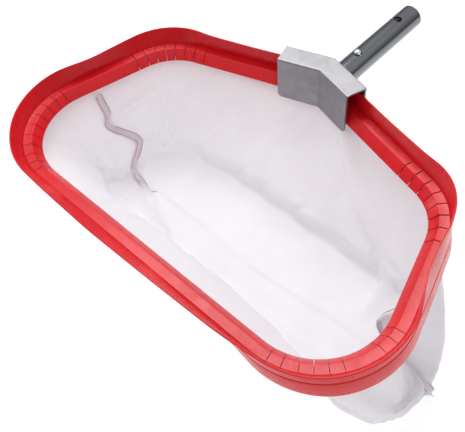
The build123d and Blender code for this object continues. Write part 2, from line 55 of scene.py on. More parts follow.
class Rim:
    """The rounded outline as a path with a distance, a point and an outward normal."""

    def __init__(self):
        self.parts = []
        self.marks = {}
        count = len(CORNERS)
        arcs = []
        for i, (x, y, r) in enumerate(CORNERS):
            here = np.array([x, y])
            back = np.array(CORNERS[i - 1][:2])
            ahead = np.array(CORNERS[(i + 1) % count][:2])
            d0 = (here - back) / np.linalg.norm(here - back)
            d1 = (ahead - here) / np.linalg.norm(ahead - here)
            turn = math.acos(float(np.clip(d0 @ d1, -1, 1)))
            normal = np.array([-d0[1], d0[0]])
            centre = here - d0 * r * math.tan(turn / 2) - normal * r
            arcs.append((centre, math.atan2(normal[1], normal[0]), turn, r))
        s = 0.0
        names = ["peak", "right", "near", "left", "top"]
        edges = ["back_right", "side_right", "front", "side_left", "back_left"]
        for i, (centre, start, turn, r) in enumerate(arcs):
            first = turn / 2 if i == 0 else 0.0
            length = r * (turn - first)
            self.parts.append((s, s + length, "arc", centre, start - first, r))
            self.marks[names[i]] = (s, s + length)
            s += length
            nxt = arcs[(i + 1) % count]
            a = centre + r * np.array([math.cos(start - turn), math.sin(start - turn)])
            b = nxt[0] + nxt[3] * np.array([math.cos(nxt[1]), math.sin(nxt[1])])
            length = float(np.linalg.norm(b - a))
            self.parts.append((s, s + length, "line", a, b, start - turn))
            self.marks[edges[i]] = (s, s + length)
            s += length
        centre, start, turn, r = arcs[0]
        self.parts.append((s, s + r * turn / 2, "arc", centre, start, r))
        self.length = s + r * turn / 2

    def at(self, s):
        """Point and outward normal at a distance."""
        s = min(max(s, 0.0), self.length)
        for a, b, kind, *rest in self.parts:
            if s <= b + 1e-9:
                break
        if kind == "arc":
            centre, start, r = rest
            angle = start - (s - a) / r
            n = np.array([math.cos(angle), math.sin(angle)])
            return centre + n * r, n
        p, q, angle = rest
        n = np.array([math.cos(angle), math.sin(angle)])
        return p + (q - p) * (s - a) / (b - a), n


RIM = Rim()

# Profiles are sampled this finely, this far past both ends, and averaged over this many samples
# on either side
PROFILE_STEP = 2.0
PROFILE_MARGIN = 40.0
PROFILE_REACH = 12


def smooth_profile(table):
    """A smooth closed function of distance from (mark, share along it, value) rows."""
    rows = []
    for name, share, value in table:
        a, b = RIM.marks[name]
        rows.append((a + (b - a) * share, value))
    rows.sort()
    length = RIM.length
    xs = np.array([r[0] for r in rows])
    ys = np.array([r[1] for r in rows])
    xs = np.concatenate([xs - length, xs, xs + length])
    ys = np.concatenate([ys, ys, ys])
    grid = np.arange(-PROFILE_MARGIN, length + PROFILE_MARGIN, PROFILE_STEP)
    raw = np.interp(grid, xs, ys)
    kernel = np.hanning(2 * PROFILE_REACH + 1)
    padded = np.pad(raw, PROFILE_REACH, mode="edge")
    soft = np.convolve(padded, kernel / kernel.sum(), mode="valid")
    return lambda s: float(np.interp(s, grid, soft))


# How far the lip leans outward, in degrees, round the strip as it was bent by hand
LIP_LEAN = smooth_profile([
    ("peak", 0.0, 0), ("back_right", 0.2, 1), ("back_right", 0.6, 0), ("back_right", 0.95, 6),
    ("right", 0.15, 17), ("right", 0.45, 10), ("right", 0.85, -2),
    ("side_right", 0.15, -8), ("side_right", 0.45, -14), ("side_right", 0.7, -6),
    ("side_right", 0.95, 7),
    ("near", 0.1, 15), ("near", 0.35, 24), ("near", 0.65, 30), ("near", 0.95, 21),
    ("front", 0.08, 31), ("front", 0.35, 39), ("front", 0.65, 45), ("front", 0.9, 40),
    ("left", 0.1, 33), ("left", 0.35, 22), ("left", 0.6, 17), ("left", 0.9, 13),
    ("side_left", 0.08, 5), ("side_left", 0.3, -3), ("side_left", 0.55, 3),
    ("side_left", 0.85, 12),
    ("top", 0.15, 19), ("top", 0.45, 20), ("top", 0.85, 8),
    ("back_left", 0.1, -3), ("back_left", 0.45, -5), ("back_left", 0.8, -3)])
# The same for the skirt below it
SKIRT_LEAN = smooth_profile([
    ("peak", 0.0, 0), ("back_right", 0.5, 0), ("right", 0.5, 10), ("side_right", 0.5, 13),
    ("near", 0.2, 13), ("near", 0.55, 10), ("near", 0.95, -2),
    ("front", 0.12, -12), ("front", 0.5, -16), ("front", 0.88, -14),
    ("left", 0.5, 6), ("side_left", 0.5, 12), ("top", 0.5, 10), ("back_left", 0.5, 0)])

# The strip's section: u runs outward from the ledge's inner edge, w up from the ledge
LIP_LENGTH = 20.0
LIP_WALL = 1.7
SKIRT_LENGTH = 31.0
SKIRT_U = 11.3
SKIRT_WALL = 2.2
# The ledge's underside, the lips of the hem's slot and their lower edge
LEDGE_UNDER = -2.2
SLOT_LIP = -8.2
TOE = -9.6
# The back of the flange slopes in from the ledge's edge
FLANGE_SLOPE = 8.8 / 10.6
FLANGE_WIDTH = 2.86
# Points of a rounded corner, less one
CORNER_STEPS = 3


def round_corners(points, radii):
    """A closed outline with each corner rounded, always with the same number of points."""
    out = []
    count = len(points)
    for i in range(count):
        p = np.array(points[i])
        a = np.array(points[i - 1])
        b = np.array(points[(i + 1) % count])
        r = radii[i]
        if r <= 0:
            out.append(p)
            continue
        da = (a - p) / np.linalg.norm(a - p)
        db = (b - p) / np.linalg.norm(b - p)
        half = math.acos(float(np.clip(da @ db, -1, 1))) / 2
        room = 0.45 * np.array([np.linalg.norm(a - p), np.linalg.norm(b - p)])
        reach = min(r / max(math.tan(half), 0.05), *room)
        for k in range(CORNER_STEPS + 1):
            t = k / CORNER_STEPS
            out.append(p + da * reach * (1 - t) ** 2 + db * reach * t ** 2)
    return out


def rim_section(s):
    """The rim's section at a distance, as (u, w) points, and how many belong to the outer wall."""
    lip = math.radians(LIP_LEAN(s))
    skirt = math.radians(SKIRT_LEAN(s))
    lip_up = np.array([math.sin(lip), math.cos(lip)])
    lip_out = np.array([math.cos(lip), -math.sin(lip)])

    def on_skirt(drop, inset):
        """A point down the skirt's outer face, or set in from it."""
        return (SKIRT_U + math.sin(skirt) * drop - inset * math.cos(skirt),
                -math.cos(skirt) * drop - inset * math.sin(skirt))

    def on_flange(w):
        """A point on the flange's back."""
        return (w * FLANGE_SLOPE + FLANGE_WIDTH, w)

    tip = np.array([9.1, 0.0]) + lip_up * LIP_LENGTH
    # Every row is a point and the radius of its corner: first the lip and the skirt
    outer = [((9.0, 0.0), 0), ((9.15, 0.05), 0.6), (tuple(tip), 0.7),
             (tuple(tip + lip_out * LIP_WALL), 0.8), ((SKIRT_U + 0.2, -0.6), 3.0),
             (on_skirt(10.4, 0), 0.5), (on_skirt(11.5, 1.0), 0.5), (on_skirt(12.6, 0), 0.5),
             (on_skirt(SKIRT_LENGTH, 0), 0.9), (on_skirt(SKIRT_LENGTH, SKIRT_WALL), 0.9),
             (on_skirt(SKIRT_WALL / math.cos(skirt), SKIRT_WALL), 0.8), ((9.0, LEDGE_UNDER), 0)]
    # Then the channel for the hem, the flange and the ledge
    inner = [((5.8, LEDGE_UNDER), 0.4), ((5.8, TOE), 0.4), ((3.2, TOE), 0.3),
             ((3.2, SLOT_LIP), 0.2), ((4.2, SLOT_LIP), 0.2), ((4.2, LEDGE_UNDER), 0.3),
             (on_flange(LEDGE_UNDER), 0.3), (on_flange(SLOT_LIP), 0.2),
             ((0.2, SLOT_LIP), 0.2), ((0.2, TOE), 0.3), (on_flange(TOE), 0.5),
             ((-8.8 + FLANGE_WIDTH * 0.62, -11.8), 0.7), ((-8.8, -10.6), 0.8), ((0.0, 0.0), 1.0)]
    rows = outer + inner
    section = round_corners([point for point, _ in rows], [radius for _, radius in rows])
    split = sum(1 if radius <= 0 else CORNER_STEPS + 1 for _, radius in outer)
    return section, split


# Relief notches, as shares of the corner arc they sit in, and half their width
NOTCHES = {
    "right": ([-0.38, -0.16, 0.05, 0.25, 0.44, 0.63, 0.84, 1.07], 0.75),
    "near": ([0.10, 0.17, 0.25, 0.48, 0.56, 0.64, 0.72, 0.81, 0.89], 0.30),
    "left": ([0.05, 0.13, 0.21, 0.31, 0.41, 0.51, 0.61, 0.71, 0.80, 0.88], 0.38),
    "top": ([-0.16, 0.05, 0.24, 0.42, 0.59, 0.78, 0.97, 1.18], 0.42),
}
# Half the gap of the joint at the peak, and how far apart the sections stand
JOINT_GAP = 0.5
ARC_STEP = 2.6
STRAIGHT_STEP = 5.0
ARC_MARGIN = 6
# No section stands closer than this to a notch's edge
NOTCH_CLEAR = 0.6


def notch_edges():
    """Start and end of each relief notch along the rim."""
    rng = np.random.default_rng(11)
    edges = []
    for name, (shares, width) in NOTCHES.items():
        a, b = RIM.marks[name]
        for share in shares:
            middle = a + (b - a) * share
            half = width * rng.uniform(0.8, 1.2)
            edges.append((middle - half, middle + half))
    return sorted(edges)


def rim_stations():
    """Distances of the sections and the set of gaps that are notches."""
    notches = notch_edges()
    arcs = [RIM.marks[name] for name in NOTCHES]
    end = RIM.length - JOINT_GAP
    spots = [JOINT_GAP]
    s = JOINT_GAP
    while s < end - 1e-6:
        bent = any(a - ARC_MARGIN <= s <= b + ARC_MARGIN for a, b in arcs)
        s += ARC_STEP if bent else STRAIGHT_STEP
        spots.append(min(s, end))
    keep = [s for s in spots
            if all(s < a - NOTCH_CLEAR or s > b + NOTCH_CLEAR for a, b in notches)]
    for a, b in notches:
        keep += [a, b]
    keep = sorted(set(keep))
    starts = [a for a, _ in notches]
    gaps = {i for i, s in enumerate(keep[:-1]) if any(abs(s - a) < 1e-6 for a in starts)}
    return keep, gaps


def to_frame(s, u, w):
    """A point of a section in the part's frame, in metres."""
    p, n = RIM.at(s)
    return ((p[0] + n[0] * u) * MM, (p[1] + n[1] * u) * MM, (LEDGE_Z + w) * MM)


def add_mesh(name, verts, faces, smooth=38.0):
    """A new object in the scene, with edges sharp above the given angle."""
    mesh = bpy.data.meshes.new(name)
    mesh.from_pydata([tuple(v) for v in verts], [], faces)
    mesh.validate()
    mesh.update()
    obj = bpy.data.objects.new(name, mesh)
    bpy.context.scene.collection.objects.link(obj)
    shade(obj, smooth)
    return obj


def shade(obj, angle=38.0):
    """Smooth shading with sharp edges above an angle."""
    obj.data.polygons.foreach_set("use_smooth", [True] * len(obj.data.polygons))
    obj.data.set_sharp_from_angle(angle=math.radians(angle))
    obj.data.update()


def make_rim():
    """The strip as one closed mesh. Between a notch's two sections only the outer wall runs on."""
    stations, gaps = rim_stations()
    verts = []
    faces = []
    for s in stations:
        section, split = rim_section(s)
        for u, w in section:
            verts.append(to_frame(s, u, w))
    count = len(section)
    for i in range(len(stations) - 1):
        a, b = i * count, (i + 1) * count
        stop = split - 1 if i in gaps else count
        for k in range(stop):
            k2 = (k + 1) % count
            faces.append((a + k, a + k2, b + k2, b + k))
        if i in gaps:
            faces.append((a + split - 1, a, b, b + split - 1))
            loop = [split - 1, *range(split, count), 0]
            faces.append(tuple(a + k for k in reversed(loop)))
            faces.append(tuple(b + k for k in loop))
    faces.append(tuple(range(count))[::-1])
    last = (len(stations) - 1) * count
    faces.append(tuple(range(last, last + count)))
    return add_mesh("rim_strip", verts, [tuple(reversed(f)) for f in faces], 32.0)


# ---------------------------------------------------------------- the bag

# Bag points are measured from the front edge of the mouth, and their height from the ledge.
# The cord in the hem, and the height at which the net leaves the hem
CORD_U = 1.7
CORD_W = -5.3
HEM_FOOT = -12.5
# The two side seams as they hang in kinks
SEAM_RIGHT = [(214, 118, HEM_FOOT), (212, 118, -30), (201, 118, -54), (195, 118, -74),
              (205, 118, -93), (231, 118, -112), (254, 116, -124), (271, 113, -132)]
SEAM_LEFT = [(-212, 118, HEM_FOOT), (-209, 117, -28), (-204, 118, -48), (-208, 116, -66),
             (-203, 121, -77), (-186, 131, -84), (-178, 135, -91), (-175, 128, -101),
             (-174, 118, -113), (-168, 110, -124), (-153, 108, -131), (-136, 101, -134)]
# Where the walls meet the table, as (share of the panel's top edge, x, y, outward belly)
FRONT_FOOT = [(0.0, 271, 108, 0), (0.06, 265, 78, 5), (0.14, 245, 51, 8), (0.24, 208, 40, 9),
              (0.33, 150, 58, 2), (0.5, 40, 68, -3), (0.68, -90, 68, -3), (0.8, -158, 62, 0),
              (0.9, -196, 84, 2), (1.0, -176, 106, 0)]
REAR_FOOT = [(0.0, -176, 122, 0), (0.1, -190, 150, 2), (0.25, -168, 184, 0), (0.4, -90, 194, -4),
             (0.6, 60, 192, -4), (0.74, 158, 192, 0), (0.86, 228, 188, 6), (0.94, 260, 150, 6),
             (1.0, 271, 117, 0)]
# The height of the net's points on the table, and how finely each panel is divided
FLOOR_W = -134.6
RIBS = 96
LEVELS = 30
# The simulation holds this many points at the top of a rib, and all that start this near the floor
HELD_LEVELS = 2
FLOOR_REACH = 6.0
# A seam draws this many ribs beside it along, less and less
SEAM_PULL = 6.0
SOFTEN_ROUNDS = 4
# The cloth simulation runs this many frames
FRAMES = 28
# Ridges pressed into the net: (panel, start, end, height, half width)
CREASES = [
    ("rear", (24, 268, -14), (167, 184, -134), 13.0, 12.0),
    ("rear", (-206, 128, -58), (-146, 213, -24), 10.0, 12.0),
    ("rear", (-196, 165, -52), (-180, 139, -92), 9.0, 10.0),
    ("front", (-160, 109, -129), (-75, 71, -134), 10.0, 10.0),
    ("front", (-168, 108, -128), (-150, 64, -134), 6.0, 9.0),
    ("front", (23, 67, -134), (178, 77, -134), 2.5, 10.0),
    ("front", (150, 8, -30), (208, 60, -130), 4.0, 12.0),
]


def along_line(points, count):
    """Evenly spaced points along a smooth line through the given ones."""
    points = np.array(points, float)
    fine = finer(points[:, None, :], 8)[:, 0, :]
    step = np.concatenate([[0], np.cumsum(np.linalg.norm(np.diff(fine, axis=0), axis=1))])
    want = np.linspace(0, step[-1], count)
    return np.stack([np.interp(want, step, fine[:, k]) for k in range(3)], axis=1)


def finer(grid, times):
    """A grid of points made finer along its first direction, through the same points."""
    padded = np.concatenate([2 * grid[:1] - grid[1:2], grid, 2 * grid[-1:] - grid[-2:-1]])
    rows = []
    for i in range(1, len(padded) - 2):
        a, b, c, d = padded[i - 1:i + 3]
        for k in range(times):
            t = k / times
            rows.append(0.5 * (2 * b + (c - a) * t + (2 * a - 5 * b + 4 * c - d) * t * t
                               + (3 * b - a - 3 * c + d) * t ** 3))
    rows.append(grid[-1])
    return np.array(rows)


def seam_distances():
    """Where the two side seams cross the rim's path."""
    spots = np.arange(0, RIM.length, 0.25)
    points = np.array([RIM.at(s)[0] for s in spots])
    gap = np.abs(points[:, 1] - SEAM_Y)
    right = np.where(points[:, 0] > 0, gap, 1e9).argmin()
    left = np.where(points[:, 0] < 0, gap, 1e9).argmin()
    return float(spots[right]), float(spots[left])


def foot_line(share):
    """The bag's bottom line on the table, from the right ear, 0, to the left ear, 1."""
    ends = np.array(SEAM_RIGHT[-1]), np.array(SEAM_LEFT[-1])
    spot = ends[0] + (ends[1] - ends[0]) * share
    wave = 6 * math.sin(2.4 * math.pi * share) * math.sin(math.pi * share)
    return np.array([spot[0], 113 + wave, FLOOR_W])


def rib(s, share, foot, table):
    """One rib of a panel: down from the hem, out over a belly, in to the bottom line."""
    p, n = RIM.at(s)
    top = np.array([p[0] + n[0] * CORD_U, p[1] - FRONT_Y + n[1] * CORD_U, HEM_FOOT])
    shares = [row[0] for row in table]
    x, y, belly = (np.interp(share, shares, [row[k] for row in table]) for k in (1, 2, 3))
    drop = top + np.array([0, 0, -17.0])
    edge = np.array([x, y, FLOOR_W])
    wall = (drop * 0.55 + edge * 0.45) + np.array([n[0], n[1], -0.6]) * belly
    into = foot - edge
    into = into / max(np.linalg.norm(into), 1.0)
    turn = edge + (wall - edge) * 0.12
    middle = foot * 0.55 + edge * 0.45
    return along_line([top, drop, wall, turn, edge + into * 12.0, middle, foot], LEVELS + 1)


def soften(rows, rounds):
    """Average neighbouring ribs, keeping the first and last."""
    for _ in range(rounds):
        rows[1:-1] = rows[1:-1] * 0.5 + (rows[:-2] + rows[2:]) * 0.25
    return rows


def press(rows, kind):
    """Push the creases of one panel up into the bag, and mark the points on their crests."""
    inside = np.array([0.0, 130.0, 40.0])
    crest = np.zeros(rows.shape[:2], bool)
    for panel, start, end, height, half in CREASES:
        if panel != kind:
            continue
        a, b = np.array(start, float), np.array(end, float)
        # The distance across the panel's depth counts less, so the ridge isn't missed there
        ease = np.array([1, 0.2, 1]) if kind == "rear" else np.array([1, 1, 0.3])
        span = (b - a) * ease
        step = span / np.linalg.norm(span)
        near = (rows - a) * ease
        reach = np.clip(near @ step, 0, np.linalg.norm(span))
        away = np.linalg.norm(near - reach[..., None] * step, axis=2)
        tent = np.clip(1 - away / half, 0, None) ** 1.3
        way = inside - rows
        way /= np.linalg.norm(way, axis=2, keepdims=True)
        hold = np.ones(rows.shape[:2])
        hold[:, :3] = 0
        hold[0], hold[-1] = 0, 0
        hold[:, -1] = 0
        rows += way * (tent * height * hold)[..., None]
        crest |= tent * hold > 0.6
    return rows, crest


def panel_start():
    """Both panels before they settle, as grids of ribs from the hem to the bottom line."""
    right, left = seam_distances()
    first = along_line(SEAM_RIGHT, LEVELS + 1)
    last = along_line(SEAM_LEFT, LEVELS + 1)
    panels = []
    for kind, table in (("front", FRONT_FOOT), ("rear", REAR_FOOT)):
        rows = []
        for i in range(RIBS + 1):
            share = i / RIBS
            if kind == "front":
                rows.append(rib(right + (left - right) * share, share, foot_line(share), table))
            else:
                s = (left + (RIM.length - left + right) * share) % RIM.length
                rows.append(rib(s, share, foot_line(1 - share), table))
        rows = np.array(rows)
        ends = (first, last) if kind == "front" else (last, first)
        for i in range(RIBS + 1):
            for edge, near in ((ends[0], i), (ends[1], RIBS - i)):
                pull = max(0.0, 1 - near / SEAM_PULL) ** 1.3
                down = np.linspace(0, 1, LEVELS + 1)[HELD_LEVELS:, None]
                pull = pull * np.clip((0.97 - down) / 0.4, 0, 1)
                lower = rows[i, HELD_LEVELS:]
                rows[i, HELD_LEVELS:] = lower * (1 - pull) + edge[HELD_LEVELS:] * pull
        rows[0], rows[-1] = ends
        tops = rows[:, :HELD_LEVELS].copy()
        soften(rows, SOFTEN_ROUNDS)
        rows[:, :HELD_LEVELS] = tops
        shares = [i / RIBS if kind == "front" else 1 - i / RIBS for i in range(RIBS + 1)]
        rows[:, -1] = [foot_line(share) for share in shares]
        rows[0], rows[-1] = ends
        panels.append(press(rows, kind))
    return panels


def settle(front, rear, crests):
    """Relax the bag's walls with a cloth simulation.

    The hem, both side seams, the points that start on the floor and the creases' crests are held.
    """
    count = (RIBS + 1) * (LEVELS + 1)
    place = np.concatenate([front.reshape(-1, 3), rear.reshape(-1, 3)])
    index = np.arange(2 * count).reshape(2, RIBS + 1, LEVELS + 1)
    index[1, 0], index[1, -1] = index[0, -1], index[0, 0]
    index[1, :, -1] = index[0, ::-1, -1]
    used, flat = np.unique(index, return_inverse=True)
    index = flat.reshape(index.shape)
    place = place[used]
    faces = []
    for side in index:
        for i in range(RIBS):
            for j in range(LEVELS):
                ring = (side[i, j], side[i + 1, j], side[i + 1, j + 1], side[i, j + 1])
                faces.append(tuple(int(v) for v in ring))
    world = (place + np.array([0, FRONT_Y, LEDGE_Z])) * MM
    bag = add_mesh("bag_rest", world, faces)
    held = bag.vertex_groups.new(name="held")
    pinned = {int(v) for side in index for v in side[:, :HELD_LEVELS].ravel()}
    pinned |= {int(v) for side in index for v in (*side[0], *side[-1])}
    pinned |= {int(v) for v in np.where(place[:, 2] < FLOOR_W + FLOOR_REACH)[0]}
    pinned |= {int(v) for side, crest in zip(index, crests) for v in side[crest]}
    held.add(sorted(pinned), 1.0, "REPLACE")
    cloth = bag.modifiers.new("cloth", "CLOTH")
    s = cloth.settings
    s.quality = 6
    s.mass = 0.12
    s.tension_stiffness = s.compression_stiffness = 12
    s.shear_stiffness = 4
    s.bending_stiffness = 1.2
    s.air_damping = 4
    s.shrink_min = -0.003
    s.effector_weights.gravity = 0.5
    s.vertex_group_mass = "held"
    cloth.collision_settings.distance_min = 0.001
    corners = ((-1, -1), (1, -1), (1, 1), (-1, 1))
    under = TABLE_Z * MM - 0.001
    table = add_mesh("table_rest", [(x, y, under) for x, y in corners], [(0, 1, 2, 3)])
    table.modifiers.new("collision", "COLLISION")
    scene = bpy.context.scene
    scene.frame_start, scene.frame_end = 1, FRAMES
    cloth.point_cache.frame_start, cloth.point_cache.frame_end = 1, FRAMES
    for step in range(1, FRAMES + 1):
        scene.frame_set(step)
    shape = bag.evaluated_get(bpy.context.evaluated_depsgraph_get())
    result = np.array([tuple(v.co) for v in shape.data.vertices])
    scene.frame_set(1)
    for thing in (bag, table):
        bpy.data.objects.remove(thing, do_unlink=True)
    result[:, 2] = np.maximum(result[:, 2], (TABLE_Z - 0.4) * MM)
    return result[index[0]], result[index[1]]


def grid_faces(rows, columns):
    """The quads of a grid of points."""
    return [(i * columns + j, (i + 1) * columns + j, (i + 1) * columns + j + 1, i * columns + j + 1)
            for i in range(rows - 1) for j in range(columns - 1)]


def grid_mesh(name, grid, flip=False, angle=180.0):
    """A sheet over a grid of points, measured along both directions in metres as its UV map."""
    rows, columns = grid.shape[:2]
    faces = grid_faces(rows, columns)
    if flip:
        faces = [tuple(reversed(f)) for f in faces]
    obj = add_mesh(name, grid.reshape(-1, 3), faces, angle)
    along = np.cumsum(np.linalg.norm(np.diff(grid[:, 2], axis=0, prepend=grid[:1, 2]), axis=1))
    down = np.cumsum(np.linalg.norm(np.diff(grid, axis=1, prepend=grid[:, :1]), axis=2), axis=1)
    layer = obj.data.uv_layers.new(name="weave")
    spots = np.stack([np.repeat(along, columns), down.ravel()], axis=1)
    order = np.array([loop.vertex_index for loop in obj.data.loops])
    layer.data.foreach_set("uv", spots[order].ravel())
    return obj


def area_of(grid):
    """The area of a grid of points."""
    a, b = grid[1:, :-1] - grid[:-1, :-1], grid[:-1, 1:] - grid[:-1, :-1]
    return float(np.linalg.norm(np.cross(a, b), axis=2).sum())


def inward(seam):
    """Unit directions all down a side seam: to the front, to the rear and into the bag."""
    middle = np.array([0.0, SEAM_Y, TABLE_Z + 70]) * MM
    down = np.gradient(seam, axis=0)
    down /= np.linalg.norm(down, axis=1, keepdims=True)
    side = np.tile([0.0, 1.0, 0.0], (len(seam), 1))
    side -= (side * down).sum(axis=1, keepdims=True) * down
    side /= np.linalg.norm(side, axis=1, keepdims=True)
    normal = np.cross(side, down)
    sign = np.sign(((middle - seam) * normal).sum(axis=1, keepdims=True).mean())
    return -side, side, normal * sign


def seam_line(seam, across, other, normal, offset, lift):
    """A line beside the seam: offset to one panel or the other, lifted into the bag."""
    way = across if offset > 0 else other
    return seam + way * abs(offset) + normal * lift


# The tape's section across the seam: (offset, lift into the bag)
TAPE_SECTION = [(5.2, -0.4), (5.2, 0.7), (4.6, 0.95), (2.5, 0.9), (0.0, 1.1), (-2.5, 0.9),
                (-4.6, 0.95), (-5.2, 0.7), (-5.2, -0.4), (-4.6, -0.6), (0.0, -0.65), (4.6, -0.6),
                (5.2, -0.4)]
# Tape and stitches leave out the first points of the finer seam, and end at these points
TAPE_START = 3
TAPE_STOP = {"right": 59, "left": 58}
STITCH_PITCH = 3.4
THREAD_RADIUS = 0.34
# A stitch is a tube of this many sides through four rings: (share of the pitch, rise, size)
STITCH_SIDES = 6
STITCH_RINGS = ((0.04, -0.35, 0.6), (0.3, 0.25, 1.0), (0.7, 0.25, 1.0), (0.96, -0.35, 0.6))


def make_tape(name, seam, across, other, normal):
    """Binding tape 10 mm wide, sewn over both faces of the seam."""
    rng = np.random.default_rng(5)
    rows = []
    for offset, lift in TAPE_SECTION:
        wave = 0.12 * np.sin(np.linspace(0, 40, len(seam)) + rng.uniform(0, 6))[:, None]
        line = seam_line(seam, across, other, normal * MM, offset * MM, lift)
        rows.append(line + normal * MM * wave)
    return grid_mesh(name, np.array(rows), angle=60.0)


def stitch_row(line, pitch, thick, normal):
    """Separate stitches along a line, each a small arched thread, as verts and faces."""
    step = np.concatenate([[0], np.cumsum(np.linalg.norm(np.diff(line, axis=0), axis=1))])
    verts, faces = [], []
    for k in range(int(step[-1] / pitch)):
        ends = [(k + share) * pitch for share, _, _ in STITCH_RINGS]
        spots = np.array([[np.interp(e, step, line[:, c]) for c in range(3)] for e in ends])
        out = np.array([np.interp(ends[1], step, normal[:, c]) for c in range(3)])
        way = spots[-1] - spots[0]
        way /= np.linalg.norm(way)
        side = np.cross(way, out)
        base = len(verts)
        for spot, (_, rise, size) in zip(spots, STITCH_RINGS):
            for turn in range(STITCH_SIDES):
                angle = turn * math.pi / 3
                lifted = spot + out * thick * (rise + size * math.cos(angle))
                verts.append(lifted + side * thick * size * math.sin(angle))
        for ring in range(len(STITCH_RINGS) - 1):
            low = base + ring * STITCH_SIDES
            for turn in range(STITCH_SIDES):
                a, b = low + turn, low + (turn + 1) % STITCH_SIDES
                faces.append((a, b, b + STITCH_SIDES, a + STITCH_SIDES))
        last = base + (len(STITCH_RINGS) - 1) * STITCH_SIDES
        faces.append(tuple(base + t for t in reversed(range(STITCH_SIDES))))
        faces.append(tuple(last + t for t in range(STITCH_SIDES)))
    return verts, faces


def make_stitches(name, rows):
    """One object from several rows of stitches, each (line, normals)."""
    verts, faces = [], []
    for line, normal in rows:
        some, more = stitch_row(line, STITCH_PITCH * MM, THREAD_RADIUS * MM, normal)
        faces += [tuple(len(verts) + k for k in f) for f in more]
        verts += list(some)
    return add_mesh(name, verts, faces, 60.0)


def sweep_rim(name, profile, step):
    """A closed section carried round the rim, capped at the joint."""
    spots = np.arange(JOINT_GAP + 0.1, RIM.length - JOINT_GAP, step)
    verts = [to_frame(s, u, w) for s in spots for u, w in profile(s)]
    size = len(profile(spots[0]))
    faces = []
    for i in range(len(spots) - 1):
        for k in range(size):
            a, b = i * size + k, i * size + (k + 1) % size
            faces.append((a, b, b + size, a + size))
    faces.append(tuple(reversed(range(size))))
    faces.append(tuple(range(len(verts) - size, len(verts))))
    return add_mesh(name, verts, faces, 40.0)


def ring_round_cord(radius, angles):
    """Points round the cord's centre, as (u, w)."""
    return [(CORD_U + radius * math.cos(t), CORD_W + radius * math.sin(t)) for t in angles]


def cord_section(_):
    """The bead cord's section, the same all round the rim."""
    return ring_round_cord(1.6, np.linspace(0, 2 * math.pi, 13)[:-1])


def hem_section(s):
    """The hem round its cord, with a tail that waves a little below the slot."""
    wave = 0.28 * math.sin(s / 7.0) + 0.18 * math.sin(s / 2.9 + 1.3)
    outer = ring_round_cord(2.35, np.radians(np.linspace(-72, 252, 12)))
    inner = ring_round_cord(1.85, np.radians(np.linspace(252, -72, 12)))
    low = -15.2 + 0.4 * math.sin(s / 11.0)
    return [(1.1 + wave, low), (2.3 + wave, low)] + outer + inner


def finer_both(grid):
    """A grid of points made twice as fine along both directions."""
    return finer(finer(grid, 2).transpose(1, 0, 2), 2).transpose(1, 0, 2)


def bag_pieces():
    """Relax the bag and make its panels, tape and stitches."""
    (front, front_crest), (rear, rear_crest) = panel_start()
    cut = [area_of(grid * MM) for grid in (front, rear)]
    front, rear = settle(front, rear, (front_crest, rear_crest))
    front, rear = finer_both(front), finer_both(rear)
    panels = [grid_mesh("net_front", front, True), grid_mesh("net_rear", rear, True)]
    tapes, side_rows, bottom_rows = [], [], []
    for side, grid in (("right", front), ("left", front[::-1])):
        # The last two points, where the seam runs into the bottom line, are left out
        run = slice(TAPE_START, TAPE_STOP[side])
        across, other, normal = (x[run] for x in inward(grid[0, :-2]))
        seam = grid[0][run]
        tapes.append(make_tape(f"seam_tape_{side}", seam, across, other, normal))
        for offset in (3.9, -3.9):
            for lift, way in ((1.1, normal), (-0.75, -normal)):
                line = seam_line(seam, across, other, normal * MM, offset * MM, lift)
                side_rows.append((line, way))
    foot = front[6:-6, -1]
    down = -np.tile([0.0, 0.0, 1.0], (len(foot), 1))
    for shift in (1.6, -1.6):
        bottom_rows.append((foot + np.array([0, shift * MM, -0.35 * MM]), down))
    side_stitches = make_stitches("side_stitches", side_rows)
    return panels, cut, tapes, side_stitches, make_stitches("bottom_stitches", bottom_rows)


# ---------------------------------------------------------------- materials

